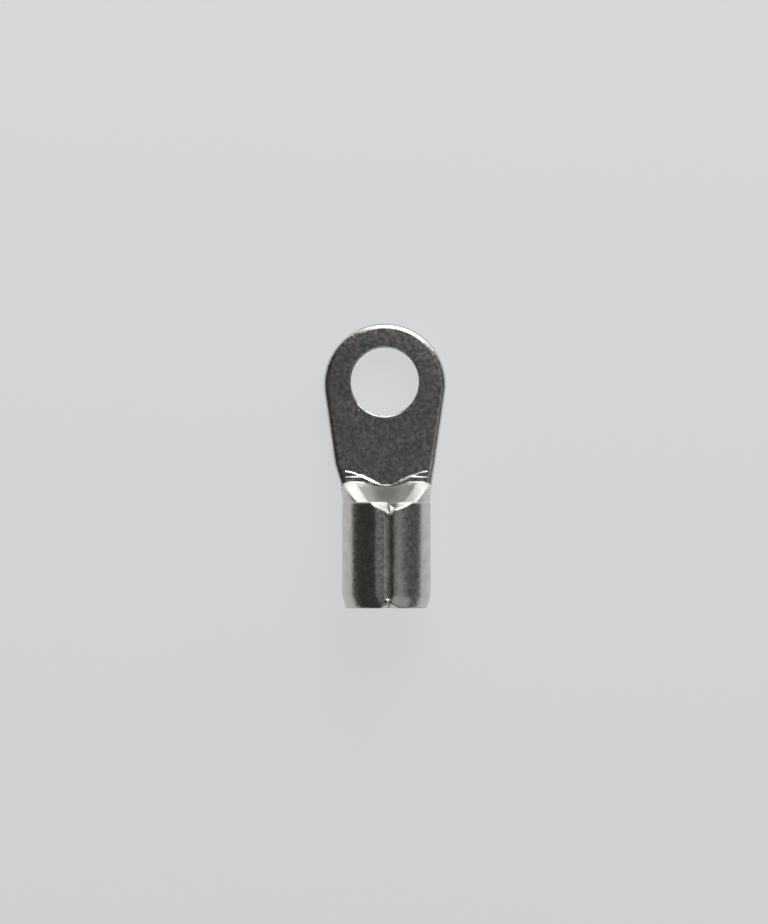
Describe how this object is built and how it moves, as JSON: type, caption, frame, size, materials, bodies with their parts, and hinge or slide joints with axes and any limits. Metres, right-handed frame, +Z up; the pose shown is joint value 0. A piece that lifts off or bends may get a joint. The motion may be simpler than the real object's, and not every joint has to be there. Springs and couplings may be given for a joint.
{
  "type": "ring terminal",
  "caption": "Bare ring terminal: a flat round tongue with a stud hole that bends through a neck into a rolled barrel, brazed along its top seam, for crimping on a stranded wire.",
  "frame": {"origin": "centre of the stud hole on the tongue's underside", "axes": "+Z up through the stud hole, to the side that shows the seam; +Y along the terminal to the tip of the tongue, so the wire enters from -Y; +X across"},
  "size_m": [0.0078, 0.018, 0.0055],
  "materials": {
    "tinned_copper": "satin",
    "silver_braze": "satin"
  },
  "bodies": {
    "root": {"terminal_body": "tinned_copper", "seam_braze": "silver_braze"}
  },
  "joints": []
}
